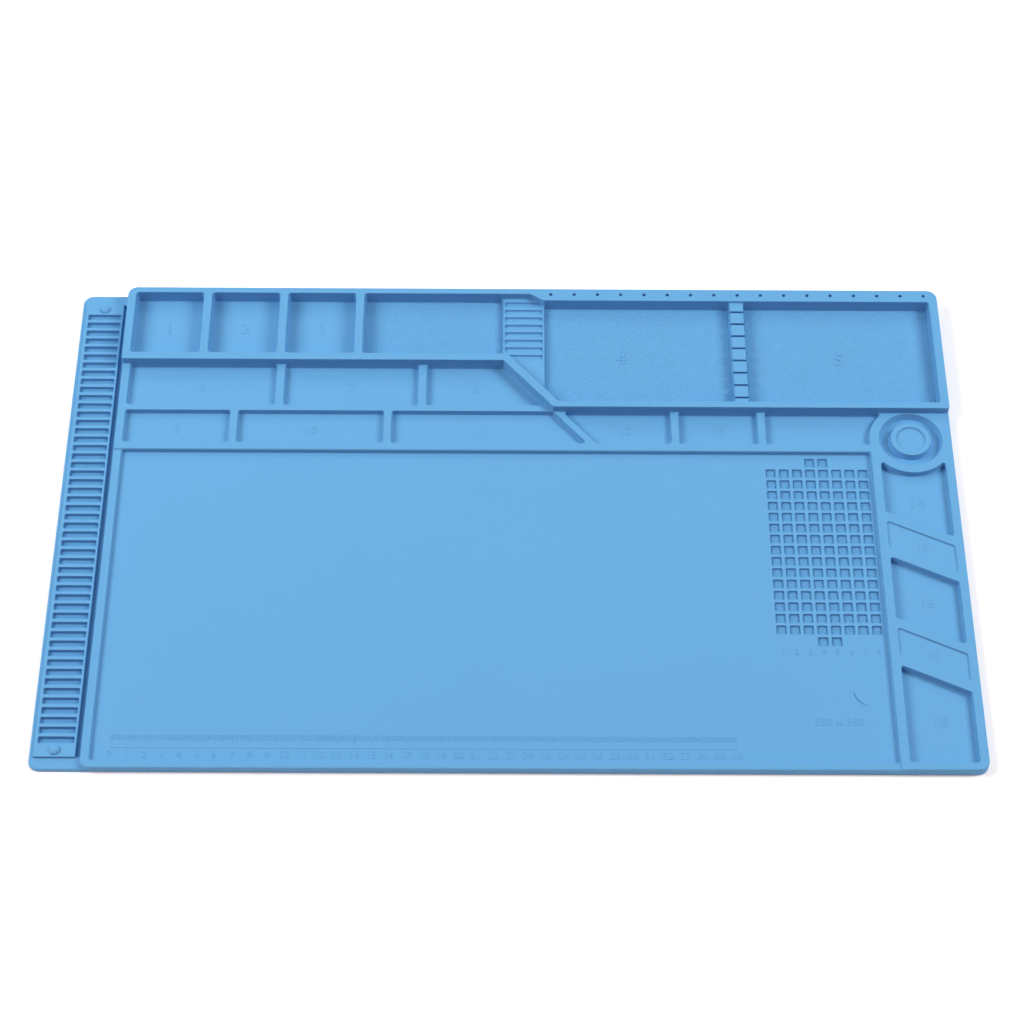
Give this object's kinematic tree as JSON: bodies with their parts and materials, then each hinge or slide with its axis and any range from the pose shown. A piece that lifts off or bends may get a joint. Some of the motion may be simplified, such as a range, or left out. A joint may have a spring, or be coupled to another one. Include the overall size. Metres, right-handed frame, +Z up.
{
  "type": "anti static bench mat",
  "caption": "Flat moulded silicone bench mat with deep and shallow parts trays, a screw cell grid, a round dish and a slotted side bar around a plain work area.",
  "frame": {"origin": "middle of the underside, on the surface that the mat lies on", "axes": "+X along the mat from the slotted bar to the right column, +Y to the back with the deep trays, +Z up"},
  "size_m": [0.55, 0.35, 0.0112],
  "materials": {
    "silicone": "matt light blue moulded silicone with a faint satin sheen"
  },
  "bodies": {
    "root": {"mat": "silicone"}
  },
  "joints": []
}
